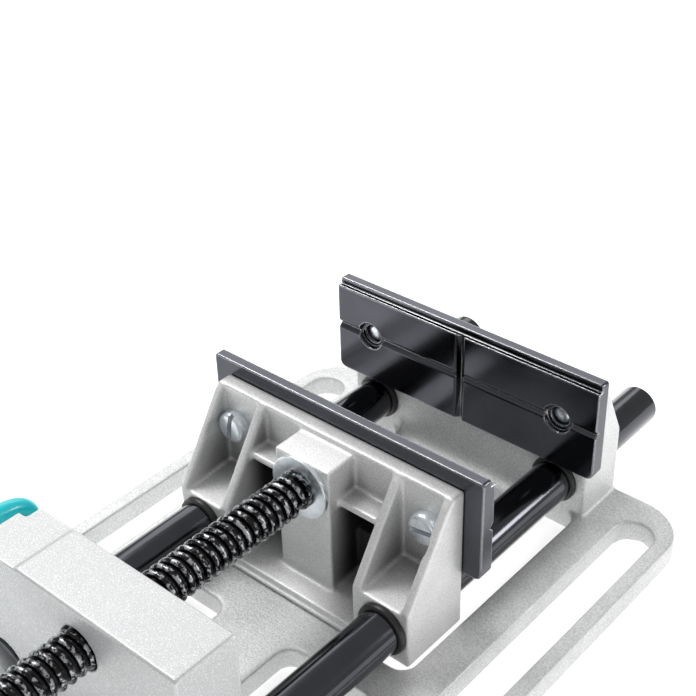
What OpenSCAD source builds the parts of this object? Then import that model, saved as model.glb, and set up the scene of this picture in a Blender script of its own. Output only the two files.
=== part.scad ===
// Bench vise for a drill-press table: two guide rods, quick-release half nut.
// Millimetres. +Z up, +Y towards the fixed jaw, +X to the right seen from the handle.
// Origin: centre of the base, on its underside. Stored with the jaws 51 mm open.

/* [Base] */
// length of the base casting
base_l = 190; // [190:1:200]
// width over both bolt rails
base_w = 148.5; // [148:0.5:152]
// thickness of the plate
base_t = 7.5; // [7:0.25:8]
// radius of the plate's corners
base_r = 16; // [12:1:18]
// distance between the two bolt slots
slot_gap = 125.2; // [125:0.1:126]
// width of a bolt slot
slot_w = 12.6; // [12:0.1:13]
// distance between a slot's two end centres
slot_run = 157; // [150:1:158]

/* [Jaws] */
// width of both jaw plates
jaw_w = 100; // [98:1:102]
// height of a jaw plate
jaw_h = 34; // [33:0.5:34]
// thickness of a jaw plate
jaw_t = 5.2; // [5:0.1:5.4]
// height of a plate's lower edge above the base plate
jaw_lift = 18.4; // [18.2:0.1:18.6]
// opening in the stored pose
opening = 51; // [48:1:52]
// screw position either side of the middle
screw_x = 36.4; // [36:0.1:36.6]
// side of both jaw castings, from the middle
cast_x = 44; // [43.8:0.1:44]

/* [Guide rods and spindle] */
// guide rod diameter
rod_d = 13.5; // [13:0.1:13.6]
// guide rod position either side of the middle
rod_x = 35.2; // [35:0.1:35.4]
// guide rod height above the base plate
rod_h = 10.4; // [10.2:0.1:10.6]
// spindle thread outside diameter
spin_d = 12.4; // [12:0.1:12.4]
// thread pitch
pitch = 3; // [3:0.5:3.5]
// spindle height above the base plate
spin_h = 37.3; // [37.1:0.1:37.4]

/* [Release lever] */
// lever bar diameter
lever_d = 5.6; // [5:0.2:6]
// offset of the eccentric that moves the half nut
cam_e = 1.8; // [1.7:0.1:1.8]

/* [Hidden] */
$fn = 48;

eps = 0.01;                                // overlap that makes a cut or union clean
fix_y = 72.5;                              // front face of the fixed jaw plate
top_z = base_t;                            // top of the base plate
rear_y = base_l / 2;
seat_y = fix_y + jaw_t;                    // face the fixed plate is screwed to
plate_z = top_z + jaw_lift;
plate_mid = plate_z + jaw_h / 2;
rod_z = top_z + rod_h;
rod_r = rod_d / 2;
spin_z = top_z + spin_h;
spin_r = spin_d / 2;
mov_y = fix_y - opening - jaw_t;           // face the moving plate is screwed to
cast_z = top_z + 47.7;                     // top of both jaw castings
wall_t = 5.3;                              // thickness of a jaw wall
seat_out = 1.7;                            // how far the fixed plate's seat stands out
rib_in = 24;                               // inner ribs run from here ...
rib_t = 3;                                 // ... and are this thick
pocket_out = 41.2;                         // outer wall of a screw pocket
foot_y = mov_y - 24;                       // front of the moving jaw
boss_y = mov_y - 16.6;                     // front of the spindle boss
boss_x = 10;                               // half its width
sole_z = top_z + 0.4;                      // underside of the moving jaw
window_z = plate_z + 1.5;                  // windows beside the boss, lower edge ...
ledge_z = top_z + 32.7;                    // ... and upper edge, under a small shelf
shelf_front = top_z + 18.8;                // shelf over each guide rod, rising to the rear
shelf_rear = top_z + 20.2;
head_d = 10;                               // cheese head, M6
pocket_r = head_d / 2 + 0.4;               // pocket round a head
clear_r = 3.3;                             // clearance hole, M6
head_h = 3.9;
m6_r = 3;
tap_r = 3.05;                              // tapped holes, drawn plain
blk_back = -61;                            // nut block, rear and front faces
blk_front = -80.5;
blk_mid = (blk_back + blk_front) / 2;
blk_top = top_z + 50;
blk_x = 36;                                // half width of the block's upper part
pocket_x = 10;                             // pocket of the half nut, half its width ...
pocket_y = 6.3;                            // ... and half its depth
bush_r = 8.1;                              // flange of a bush
sleeve_r = 7.5;                            // its body, inside the moving jaw
bush_out = 1.8;                            // how far a bush or ring stands proud
rod_front = blk_front - 0.6;
rod_rear = 126.3;
washer_t = 1.5;
journal_r = 4;
hub_y = -152;                              // rear face of the handle hub
hub_l = 22;
hub_r = 9.5;
hub_pin_r = 1.5;
hub_pin_y = hub_y - 5;
bar_r = 4;
bar_half = 40;
shaft_y = blk_mid - 1.3;                   // release shaft
shaft_z = 31.5;
shaft_r = 5;
stub_r = 3;                                // far end of the shaft
cam_r = 3.2;
cam_a = 45;                                // eccentric angle above the rear, in degrees
lever_x = -49;                             // plane of the lever bar
block_tap_r = 2.5;                         // M5 screws that hold the nut block
block_head_r = 4.5;
block_screws_at = [for (x = [-20, 20], y = [-4.8, 4.8]) [x, blk_mid + y]];
pin_y = rear_y - 8;                        // pins that lock the guide rods
pin_r = 2;
pin_low = 5;
press = 0.02;                              // clearance of parts that don't move against each other

cast_grey = [0.80, 0.81, 0.80];
steel_black = [0.07, 0.07, 0.08];
zinc = [0.75, 0.80, 0.84];
teal = [0.0, 0.62, 0.64];

// a box from its two opposite corners
module box(lo, hi) {
  translate(lo) cube(hi - lo);
}

// a cylinder that starts at p and runs along +X, +Y or +Z
module along_x(p, r, h) {
  translate(p) rotate([0, 90, 0]) cylinder(r = r, h = h);
}

module along_y(p, r, h) {
  translate(p) rotate([-90, 0, 0]) cylinder(r = r, h = h);
}

module along_z(p, r, h) {
  translate(p) cylinder(r = r, h = h);
}

// an upright plate drawn as its Y-Z outline, from x to x + w
module side_plate(x, w, outline) {
  translate([x, 0, 0]) rotate([90, 0, 90]) linear_extrude(w) polygon(outline);
}

// a rectangle with round corners
module round_rect(lo, hi, r) {
  union() {
    translate([lo[0] + r, lo[1]]) square([hi[0] - lo[0] - 2 * r, hi[1] - lo[1]]);
    translate([lo[0], lo[1] + r]) square([hi[0] - lo[0], hi[1] - lo[1] - 2 * r]);
    for (x = [lo[0] + r, hi[0] - r], y = [lo[1] + r, hi[1] - r]) translate([x, y]) circle(r);
  }
}

// ---------------------------------------------------------------- base
module base_plate() {
  linear_extrude(base_t) difference() {
    round_rect([-base_w / 2, -base_l / 2], [base_w / 2, base_l / 2], base_r);
    for (s = [-1, 1]) {
      translate([s * slot_gap / 2, 0]) {
        square([slot_w, slot_run], center = true);
        for (e = [-1, 1]) translate([0, e * slot_run / 2]) circle(slot_w / 2);
      }
      rod_opening(s);
      front_opening(s);
    }
  }
}

// long opening under each guide rod, between the jaws
module rod_opening(s) {
  open_in = 26;
  open_out = 44.2;
  lo_x = s > 0 ? open_in : -open_out;
  hi_x = s > 0 ? open_out : -open_in;
  round_rect([lo_x, -9.5], [hi_x, seat_y - seat_out], 5);
}

// opening behind the nut block, under rods and spindle
module front_opening(s) {
  open_in = 12;
  open_out = 44.2;
  lo_x = s > 0 ? open_in : -open_out;
  hi_x = s > 0 ? open_out : -open_in;
  round_rect([lo_x, -51.5], [hi_x, -21.5], 5);
}

// upright casting that carries the fixed jaw plate
module fixed_jaw() {
  knee_z = top_z + 24;
  knee_y = rear_y - 0.2;
  fix_x = 46;
  slope = [[seat_y, top_z - eps], [seat_y, cast_z], [seat_y + 6.2, cast_z - 1.2], [knee_y, knee_z],
    [knee_y, top_z - eps]];
  difference() {
    union() {
      box([-fix_x, seat_y, top_z - eps], [fix_x, seat_y + wall_t, cast_z]);
      for (s = [-1, 1]) {
        side_plate(s > 0 ? rib_in : -rib_in - rib_t, rib_t, slope);
        side_plate(s > 0 ? pocket_out : -fix_x, fix_x - pocket_out, slope);
        rod_housing(s, fix_x);
      }
      box([-rib_in - eps, seat_y - seat_out, top_z - eps], [rib_in + eps, seat_y + eps, plate_z - 0.1]);
      cove();
    }
    for (s = [-1, 1]) {
      along_y([s * screw_x, seat_y - 1, plate_mid], clear_r, wall_t + 2);
      along_y([s * screw_x, seat_y + wall_t, plate_mid], pocket_r, 20);
      along_y([s * rod_x, seat_y - 5, rod_z], rod_r + press, 40);
    }
  }
}

// block around one guide rod, under the screw pocket; it carries the plate's seat
module rod_housing(s, out_x) {
  lo_x = s > 0 ? rib_in : -out_x;
  hi_x = s > 0 ? out_x : -rib_in;
  box([lo_x, seat_y - seat_out, top_z - eps], [hi_x, rear_y - 0.2, plate_z - 0.1]);
}

// round fillet between the web of the base and the fixed jaw
module cove() {
  cove_r = 7;
  face_y = seat_y - seat_out;
  difference() {
    box([-rib_in - 2, face_y - cove_r, top_z - eps], [rib_in + 2, face_y + eps, top_z + cove_r]);
    along_x([-rib_in - 4, face_y - cove_r, top_z + cove_r], cove_r, 2 * rib_in + 8);
  }
}

module base_casting() {
  color(cast_grey) difference() {
    union() {
      base_plate();
      fixed_jaw();
    }
    // pins that lock the guide rods
    for (s = [-1, 1]) along_z([s * rod_x, pin_y, pin_low - 1], pin_r + press, 40);
    // screws of the nut block, from below
    for (at = block_screws_at) {
      along_z([at[0], at[1], -1], block_tap_r + 0.3, base_t + 2);
      along_z([at[0], at[1], -1], block_head_r + 0.2, 6);
    }
  }
}

// ---------------------------------------------------------------- jaw plates
// Drawn with its working face on Y = 0 looking towards -Y; it is jaw_t thick.
module jaw_plate() {
  lip_d = 1.7;
  lip_h = 2.2;
  vee = 1.4;                               // depth of the lying groove
  cross = 1.6;                             // depth of the standing groove
  low_r = 2.5;                             // lower corners
  high_r = 1;                              // upper corners
  relief_r = 4.6;                          // opening round each screw hole
  difference() {
    rotate([90, 0, 0]) mirror([0, 0, 1]) linear_extrude(jaw_t) union() {
      round_rect([-jaw_w / 2, plate_z], [jaw_w / 2, plate_mid], low_r);
      round_rect([-jaw_w / 2, plate_z + 2 * low_r], [jaw_w / 2, plate_z + jaw_h], high_r);
    }
    // step along the upper edge
    box([-jaw_w, -1, plate_z + jaw_h - lip_h], [jaw_w, lip_d, plate_z + jaw_h + 1]);
    // V grooves that hold round work lying down and standing up
    translate([-jaw_w, 0, plate_mid]) rotate([45, 0, 0])
      translate([0, -vee / sqrt(2), -vee / sqrt(2)]) cube([2 * jaw_w, vee * sqrt(2), vee * sqrt(2)]);
    rotate([0, 0, 45])
      translate([-cross / sqrt(2), -cross / sqrt(2), 0])
      cube([cross * sqrt(2), cross * sqrt(2), 2 * cast_z]);
    // screw holes, opened out at the working face so a screw tip never stands proud of it
    for (s = [-1, 1]) translate([s * screw_x, 0, plate_mid]) rotate([-90, 30, 0]) {
      translate([0, 0, -1]) cylinder(r = tap_r, h = jaw_t + 2);
      translate([0, 0, -1]) cylinder(r = relief_r, h = 1 + vee + 0.4);
    }
  }
}

module fixed_plate() {
  color(steel_black) translate([0, fix_y, 0]) jaw_plate();
}

module moving_plate() {
  color(steel_black) translate([0, mov_y + jaw_t, 0]) mirror([0, 1, 0]) jaw_plate();
}

// slotted cheese-head screw; its head seats at Y = 0 and its shank runs towards +Y
module cheese_screw() {
  shank = 8.4;
  difference() {
    union() {
      along_y([0, -head_h, 0], head_d / 2, head_h);
      along_y([0, -eps, 0], m6_r, shank);
    }
    box([-head_d, -head_h - 1, -0.8], [head_d, -head_h + 1.6, 0.8]);
  }
}

module moving_plate_screws() {
  color(zinc) for (s = [-1, 1])
    translate([s * screw_x, mov_y - wall_t, plate_mid]) rotate([0, s * 14, 0]) cheese_screw();
}

module fixed_plate_screws() {
  color(zinc) for (s = [-1, 1])
    translate([s * screw_x, seat_y + wall_t, plate_mid]) rotate([0, s * 25, 0])
      mirror([0, 1, 0]) cheese_screw();
}

// ---------------------------------------------------------------- guide rods
module guide_rod(s) {
  bevel = 0.8;
  len = rod_rear - rod_front;
  difference() {
    translate([s * rod_x, rod_front, rod_z]) rotate([-90, 0, 0]) {
      cylinder(r1 = rod_r - bevel, r2 = rod_r, h = bevel);
      translate([0, 0, bevel]) cylinder(r = rod_r, h = len - 2 * bevel);
      translate([0, 0, len - bevel]) cylinder(r1 = rod_r, r2 = rod_r - bevel, h = bevel);
    }
    along_z([s * rod_x, pin_y, rod_z - 20], pin_r + press, 40);
  }
}

module guide_rod_left() {
  color(steel_black) guide_rod(-1);
}

module guide_rod_right() {
  color(steel_black) guide_rod(1);
}

// pins that lock the rods in the fixed jaw
module rod_pins() {
  pin_l = plate_z - pin_low - 0.4;
  color(zinc) for (s = [-1, 1]) along_z([s * rod_x, pin_y, pin_low], pin_r, pin_l);
}

// black rings round the rods where they enter the fixed jaw
module rod_rings() {
  color(steel_black) for (s = [-1, 1]) difference() {
    along_y([s * rod_x, seat_y - seat_out - bush_out, rod_z], bush_r - 0.3, bush_out);
    along_y([s * rod_x, seat_y - 6, rod_z], rod_r + press, 8);
  }
}

// ---------------------------------------------------------------- nut block
module block_body() {
  flank_x = 45.5;
  wide_x = 39;
  wide_y = -65.8;
  union() {
    box([-blk_x, blk_front, top_z], [blk_x, blk_back, blk_top]);
    box([-wide_x, blk_front, top_z], [-blk_x + eps, wide_y, blk_top]);
    box([-flank_x, blk_front, top_z], [-blk_x + eps, blk_back, top_z + 30.5]);
    box([blk_x - eps, blk_front, top_z], [flank_x, blk_back, top_z + 19.5]);
  }
}

module nut_block() {
  color(cast_grey) difference() {
    block_body();
    for (s = [-1, 1]) {
      along_y([s * rod_x, blk_front - 1, rod_z], rod_r + press, 30);
      along_x([s > 0 ? rod_x : -60, blk_mid, rod_z], 2.55, 60 - rod_x);
    }
    along_y([0, blk_front - 1, spin_z], spin_r + 0.3, 30);
    // pocket of the half nut, open at the bottom
    box([-pocket_x, blk_mid - pocket_y, top_z - 1], [pocket_x, blk_mid + pocket_y, spin_z + 0.2]);
    // bearings of the release shaft
    along_x([-60, shaft_y, shaft_z], shaft_r + 0.05, 52);
    along_x([pocket_x - 1, shaft_y, shaft_z], stub_r + 0.05, 15);
    for (at = block_screws_at) along_z([at[0], at[1], 0], block_tap_r, top_z + 14);
  }
}

module block_screws() {
  sunk = 0.5;                              // head below the plate's underside
  head = 4.5;                              // height of the head
  shank = 16;
  socket_r = 2.3;                          // six-sided socket
  color(zinc) for (at = block_screws_at) translate([at[0], at[1], 0]) difference() {
    union() {
      along_z([0, 0, sunk], block_head_r, head);
      along_z([0, 0, sunk + head - 0.1], block_tap_r - 0.05, shank);
    }
    cylinder(r = socket_r, h = 3, $fn = 6);
  }
}

// grub screws that clamp the rods in the block
module rod_grub_screws() {
  grub_l = 3;
  edge_x = rod_x + rod_r + 0.2;
  color(steel_black) for (s = [-1, 1]) difference() {
    along_x([s > 0 ? edge_x : -edge_x - grub_l, blk_mid, rod_z], 2.5, grub_l);
    along_x([s > 0 ? edge_x + 1.4 : -edge_x - grub_l - 1, blk_mid, rod_z], 1.25, 2.6, $fn = 6);
  }
}

// half nut: a threaded saddle on top, a window for the eccentric below
module half_nut() {
  nut_x = pocket_x - 0.2;
  nut_y = pocket_y - 0.2;
  top = spin_z - 0.6;
  low = shaft_z - 4.9;
  cam_y = shaft_y + cam_e * cos(cam_a);
  cam_z = shaft_z + cam_e * sin(cam_a);
  win_h = cam_r + 0.15;
  win_w = cam_r + 0.75;
  color([0.72, 0.58, 0.33]) difference() {
    box([-nut_x, blk_mid - nut_y, low], [nut_x, blk_mid + nut_y, top]);
    along_y([0, blk_mid - 8, spin_z], spin_r + 0.1, 16);
    box([-11, cam_y - win_w, cam_z - win_h], [11, cam_y + win_w + 0.1, cam_z + win_h]);
  }
}

// ---------------------------------------------------------------- moving jaw
module jaw_shell() {
  ledge_y = 12.8;                          // depth of the small shelf
  ledge_t = 2.3;
  slope = [[mov_y, sole_z], [mov_y, cast_z], [mov_y - 4.6, cast_z], [mov_y - 6.9, cast_z - 1.8],
    [foot_y, top_z + 19.6], [foot_y, sole_z]];
  union() {
    // wall behind the plate
    box([-cast_x, mov_y - wall_t, sole_z], [cast_x, mov_y, cast_z]);
    for (s = [-1, 1]) {
      side_plate(s > 0 ? rib_in : -rib_in - rib_t, rib_t, slope);
      side_plate(s > 0 ? pocket_out : -cast_x, cast_x - pocket_out, slope);
      // shelf over the guide rod
      side_plate(s > 0 ? rib_in : -cast_x, cast_x - rib_in, [[foot_y, sole_z],
        [foot_y, shelf_front], [mov_y - eps, shelf_rear], [mov_y - eps, sole_z]]);
      // small shelf beside the boss
      box([s > 0 ? boss_x - 1 : -rib_in - eps, mov_y - ledge_y, ledge_z],
        [s > 0 ? rib_in + eps : 1 - boss_x, mov_y - eps, ledge_z + ledge_t]);
    }
    // boss for the spindle, standing on the foot
    box([-boss_x, boss_y, sole_z], [boss_x, mov_y - eps, top_z + 46.2]);
    side_plate(-rib_in - 1, 2 * rib_in + 2, [[mov_y - 1, sole_z], [mov_y - 1, top_z + 5],
      [foot_y, top_z + 2.8], [foot_y, sole_z]]);
    // thin sole that slides on the web of the base
    box([-25.4, foot_y - 1.4, sole_z], [25.4, foot_y + 2, top_z + 1.5]);
  }
}

module moving_jaw() {
  color(cast_grey) difference() {
    jaw_shell();
    for (s = [-1, 1]) {
      along_y([s * rod_x, foot_y - 1, rod_z], sleeve_r + press, 40);
      along_y([s * screw_x, mov_y - wall_t - 1, plate_mid], clear_r, wall_t + 2);
      along_y([s * screw_x, mov_y - 30, plate_mid], pocket_r, 30 - wall_t);
      // window between the boss and the inner rib
      box([s > 0 ? boss_x : -rib_in, mov_y - wall_t - 1, window_z],
        [s > 0 ? rib_in : -boss_x, mov_y + 1, ledge_z]);
    }
    // spindle journal and its rear recess
    along_y([0, boss_y - 1, spin_z], journal_r + 0.06, 30);
    along_y([0, mov_y - 6, spin_z], 8, 7);
  }
}

module rod_bushes() {
  bore = rod_r + 0.06;
  color([0.05, 0.05, 0.05]) for (s = [-1, 1]) difference() {
    union() {
      along_y([s * rod_x, foot_y - bush_out, rod_z], bush_r, bush_out);
      along_y([s * rod_x, foot_y - eps, rod_z], sleeve_r, 23.8);
    }
    along_y([s * rod_x, foot_y - bush_out - 1, rod_z], bore, 40);
  }
}

// ---------------------------------------------------------------- spindle
// The rolled thread is drawn as rings. Turned outline, measured back from the tip in the moving jaw.
module spindle() {
  tip_y = mov_y - 1.5;
  root = spin_r - 1.4;
  groove_r = 3.1;
  groove_a = tip_y - (mov_y - 3.68);
  groove_b = tip_y - (mov_y - 4.72);
  collar_a = tip_y - (boss_y - washer_t - 0.05);
  collar_b = collar_a + 1.8;
  thread_end = tip_y - (hub_y + 2);
  turns = floor((thread_end - collar_b - 1) / pitch);
  start = thread_end - turns * pitch;
  stub = tip_y - (hub_y - 9);
  crest = pitch * 0.24;
  flank = pitch * 0.26;
  rings = [for (i = [0 : turns - 1]) each [
    [root, start + i * pitch],
    [spin_r, start + i * pitch + flank],
    [spin_r, start + i * pitch + flank + crest],
    [root, start + i * pitch + 2 * flank + crest]]];
  outline = concat(
    [[0, 0], [journal_r - 0.5, 0], [journal_r, 0.5], [journal_r, groove_a], [groove_r, groove_a],
      [groove_r, groove_b], [journal_r, groove_b], [journal_r, collar_a], [5.9, collar_a],
      [5.9, collar_b], [root, collar_b + 0.5]],
    rings,
    [[root, thread_end], [5, thread_end + 0.3], [5, stub], [0, stub]]);
  color(steel_black) difference() {
    translate([0, tip_y, spin_z]) rotate([90, 0, 0]) rotate_extrude() polygon(outline);
    along_z([0, hub_pin_y, spin_z - 12], hub_pin_r + press, 24);
  }
}

module front_washer() {
  color(zinc) difference() {
    along_y([0, boss_y - washer_t, spin_z], 10, washer_t);
    along_y([0, boss_y - 4, spin_z], journal_r + 0.06, 8);
  }
}

module thrust_washer() {
  color(zinc) difference() {
    along_y([0, mov_y - 6, spin_z], 7, 1.2);
    along_y([0, mov_y - 8, spin_z], journal_r + 0.06, 6);
  }
}

// open retaining clip in the groove at the tip
module spindle_clip() {
  color(steel_black) translate([0, mov_y - 4.7, spin_z]) difference() {
    along_y([0, 0, 0], 6, 1);
    along_y([0, -1, 0], 3.12, 3);
    box([-2.6, -1, -8], [2.6, 3, 0]);
  }
}

module spindle_hub() {
  bar_y = hub_y - 15;
  color(steel_black) difference() {
    translate([0, hub_y, spin_z]) rotate([90, 0, 0]) {
      cylinder(r1 = hub_r - 2, r2 = hub_r, h = 2);
      translate([0, 0, 2]) cylinder(r = hub_r, h = hub_l - 3);
      translate([0, 0, hub_l - 1]) cylinder(r1 = hub_r, r2 = hub_r - 1, h = 1);
    }
    along_y([0, hub_y - 9, spin_z], 5.02, 10);
    along_x([-hub_r - 1, bar_y, spin_z], bar_r + 0.08, 2 * hub_r + 2);
    along_z([0, hub_pin_y, spin_z - 12], hub_pin_r + press, 24);
  }
}

module hub_pin() {
  color(zinc) along_z([0, hub_pin_y, spin_z - hub_r + 0.2], hub_pin_r, 2 * hub_r - 0.4);
}

module handle_bar() {
  color(zinc) along_x([-bar_half, hub_y - 15, spin_z], bar_r, 2 * bar_half);
}

// moulded knobs pressed on the bar's ends
module bar_knobs() {
  knob_r = 6.5;
  knob_l = 8;
  grip = 5;
  color([0.05, 0.05, 0.05]) for (s = [-1, 1]) translate([0, hub_y - 15, spin_z]) difference() {
    rotate([0, s * 90, 0]) translate([0, 0, bar_half - grip]) rotate_extrude() polygon([[0, 0],
      [knob_r - 1, 0], [knob_r, 1], [knob_r, knob_l - 2], [knob_r - 2, knob_l], [0, knob_l]]);
    along_x([s > 0 ? bar_half - grip - 1 : -bar_half, 0, 0], bar_r + 0.01, grip + 1);
  }
}

// ---------------------------------------------------------------- release lever
// Shaft through the nut block; its eccentric moves the half nut up and down.
module cam_shaft() {
  cam_y = shaft_y + cam_e * cos(cam_a);
  cam_z = shaft_z + cam_e * sin(cam_a);
  color(zinc) difference() {
    union() {
      along_x([-51.6, shaft_y, shaft_z], 4, 6);
      along_x([-45.7, shaft_y, shaft_z], shaft_r, 35.3);
      along_x([-10.5, cam_y, cam_z], cam_r, 20.45);
      along_x([9.9, shaft_y, shaft_z], stub_r, 12.3);
    }
    along_x([-52, shaft_y, shaft_z], 2.02, 9);
  }
}

// outline of a bent strip, hw either side of its centre line
function side_dir(p, i) = let (d = p[min(i + 1, len(p) - 1)] - p[max(i - 1, 0)]) [-d[1], d[0]] / norm(d);
function strip(p, hw) = concat([for (i = [0 : len(p) - 1]) p[i] + hw * side_dir(p, i)],
  [for (i = [len(p) - 1 : -1 : 0]) p[i] - hw * side_dir(p, i)]);

module release_lever() {
  path = [[shaft_y + 3, shaft_z + 2.4], [-57.2, 43.3], [-56.7, 45.2], [-57.2, 47.2], [-58.6, 48.9],
    [-60.5, 50.1], [-62.8, 50.9], [-65.4, 51.4], [-86, 53]];
  grip_at = [-84, 52.85];
  grip_l = 21;
  grip_r = 4.2;
  tilt = 4.5;                              // rise of the grip, in degrees
  color(teal) difference() {
    union() {
      along_x([-52, shaft_y, shaft_z], 8, 6);
      side_plate(lever_x - lever_d / 2, lever_d, strip(path, lever_d / 2));
      translate([lever_x, grip_at[0], grip_at[1]]) rotate([90 - tilt, 0, 0]) rotate_extrude()
        polygon([[0, 0], [grip_r - 1.4, 0], [grip_r - 0.3, 1.6], [grip_r, 4], [grip_r, grip_l - 3],
          [grip_r - 1, grip_l - 0.9], [grip_r - 2.4, grip_l], [0, grip_l]]);
    }
    along_x([-53, shaft_y, shaft_z], 4.02, 8);
  }
}

module lever_screw() {
  color(zinc) difference() {
    union() {
      along_x([-54.4, shaft_y, shaft_z], 4.6, 2.3);
      along_x([-52.2, shaft_y, shaft_z], 2, 8);
    }
    along_x([-55, shaft_y, shaft_z], 1.7, 2, $fn = 6);
  }
}

base_casting();
fixed_plate();
fixed_plate_screws();
guide_rod_left();
guide_rod_right();
rod_pins();
rod_rings();
nut_block();
block_screws();
rod_grub_screws();
half_nut();
moving_jaw();
moving_plate();
moving_plate_screws();
rod_bushes();
spindle();
front_washer();
thrust_washer();
spindle_clip();
spindle_hub();
hub_pin();
handle_bar();
bar_knobs();
cam_shaft();
release_lever();
lever_screw();
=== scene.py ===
# %% [markdown]
# # A drill-press vise
#
# The vise is a flat cast base with two bolt rails, a fixed jaw that grows out of it, and a
# moving jaw that slides on two round guide rods. A screw runs through a nut block at the front
# of the base. Turning a small lever on the block drops half of the nut away from the screw.
#
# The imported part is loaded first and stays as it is.

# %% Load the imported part
import math

import bpy
from mathutils import Matrix, Vector


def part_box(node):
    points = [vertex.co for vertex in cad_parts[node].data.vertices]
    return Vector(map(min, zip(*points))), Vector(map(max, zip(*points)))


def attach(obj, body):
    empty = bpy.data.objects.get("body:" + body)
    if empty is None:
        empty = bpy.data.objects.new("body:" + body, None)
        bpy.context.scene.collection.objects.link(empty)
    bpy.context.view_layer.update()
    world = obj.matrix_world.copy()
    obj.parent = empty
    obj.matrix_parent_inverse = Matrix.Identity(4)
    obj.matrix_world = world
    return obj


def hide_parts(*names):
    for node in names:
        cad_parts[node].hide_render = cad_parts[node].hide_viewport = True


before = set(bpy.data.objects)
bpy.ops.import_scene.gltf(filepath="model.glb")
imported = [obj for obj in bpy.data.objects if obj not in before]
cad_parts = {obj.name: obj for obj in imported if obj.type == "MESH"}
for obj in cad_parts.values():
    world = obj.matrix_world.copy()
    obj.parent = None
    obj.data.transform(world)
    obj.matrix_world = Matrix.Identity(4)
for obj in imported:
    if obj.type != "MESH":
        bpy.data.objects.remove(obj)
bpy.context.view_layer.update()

MM = 0.001


def box_mm(node):
    """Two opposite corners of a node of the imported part, in millimetres."""
    return [[v / MM for v in corner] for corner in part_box(node)]


def middle_of(node):
    """The centre of a node's box, in millimetres."""
    low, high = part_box(node)
    return [(a + b) / 2 / MM for a, b in zip(low, high)]


# %% [markdown]
# ## Working by hand, from code
#
# Every tool of Blender acts on what is selected. Work in code is calm when each step starts by
# selecting exactly one thing, so these helpers do that, and everything later goes through them.

# %% Select, pick, apply
def only(piece):
    """Leaves edit mode and makes this piece the only selected and active one."""
    if bpy.context.object and bpy.context.object.mode != "OBJECT":
        bpy.ops.object.mode_set(mode="OBJECT")
    bpy.ops.object.select_all(action="DESELECT")
    if piece:
        piece.select_set(True)
        bpy.context.view_layer.objects.active = piece
    return piece


def named(name):
    """The primitive that was just added, under its own name."""
    piece = bpy.context.object
    piece.name = name
    piece.data.name = name
    return piece


def pick_faces(piece, test):
    """Goes into edit mode with the faces selected whose centre and normal pass the test."""
    only(piece)
    for face in piece.data.polygons:
        face.select = False
    for edge in piece.data.edges:
        edge.select = False
    for corner in piece.data.vertices:
        corner.select = False
    for face in piece.data.polygons:
        face.select = bool(test(face.center, face.normal))
    bpy.ops.object.mode_set(mode="EDIT")
    bpy.ops.mesh.select_mode(type="FACE")


def apply_modifier(piece, kind, **settings):
    """Adds a modifier, sets it up and applies it."""
    only(piece)
    bpy.ops.object.modifier_add(type=kind)
    step = piece.modifiers[-1]
    for name, value in settings.items():
        setattr(step, name, value)
    bpy.ops.object.modifier_apply(modifier=step.name)


def cut_with(piece, *tools):
    """Takes the tools' shapes out of the piece, and throws the tools away."""
    for tool in tools:
        apply_modifier(piece, "BOOLEAN", operation="DIFFERENCE", solver="EXACT", object=tool)
        bpy.data.objects.remove(tool)


def join(name, *pieces):
    """Makes several shapes one piece."""
    only(pieces[0])
    for piece in pieces:
        piece.select_set(True)
    bpy.ops.object.join()
    return named(name)


def settle(piece):
    """Puts the place, turn and size of the object into its mesh."""
    only(piece)
    bpy.ops.object.transform_apply(location=True, rotation=True, scale=True)
    return piece


print("helpers: only, named, pick_faces, apply_modifier, cut_with, join, settle")

# %% [markdown]
# ## Handing a piece in
#
# A finished piece has a finish, rides on a body of the mechanism and hides the plain node that it
# stands for. One helper does it all, so no piece is forgotten, and it prints how many triangles the
# piece has.

# %% Hand in a piece
def hand_in(piece, body, finish, node, smooth=35):
    """Smooths, paints, and fastens a finished piece to its body, in place of its plain node."""
    settle(piece)
    if smooth:
        bpy.ops.object.shade_smooth_by_angle(angle=math.radians(smooth))
    piece.data.materials.clear()
    piece.data.materials.append(finish)
    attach(piece, body)
    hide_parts(node)
    triangles = sum(len(face.vertices) - 2 for face in piece.data.polygons)
    print(f"{piece.name}: {triangles} triangles, rides on {body}")
    return piece


print("every finished piece goes through hand_in")

# %% [markdown]
# ## Writing a finish as sums
#
# A finish is a small net of nodes. Long nets of Math nodes are hard to read, so a value that
# comes out of a node is wrapped in a class that knows plus, minus, times and divide. Then
# `0.4 + 0.1 * grain` adds the two Math nodes by itself, and the finish reads like a recipe.

# %% Values that add their own Math nodes
class Value:
    """An output socket that can be reckoned with."""

    def __init__(self, recipe, socket):
        self.recipe = recipe
        self.socket = socket

    def _math(self, operation, a, b=0.0):
        return self.recipe.node("ShaderNodeMath", {"operation": operation}, {0: a, 1: b})

    def __add__(self, other):
        return self._math("ADD", self, other)

    __radd__ = __add__

    def __sub__(self, other):
        return self._math("SUBTRACT", self, other)

    def __rsub__(self, other):
        return self._math("SUBTRACT", other, self)

    def __mul__(self, other):
        return self._math("MULTIPLY", self, other)

    __rmul__ = __mul__

    def __truediv__(self, other):
        return self._math("DIVIDE", self, other)

    def __pow__(self, other):
        return self._math("POWER", self, other)

    def below(self, other):
        """The smaller of the two."""
        return self._math("MINIMUM", self, other)

    def span(self, low, high, to_low=0.0, to_high=1.0):
        """Maps low..high to to_low..to_high with soft ends."""
        return self.recipe.node("ShaderNodeMapRange", {"interpolation_type": "SMOOTHSTEP"},
                                {0: self, 1: low, 2: high, 3: to_low, 4: to_high})


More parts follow.
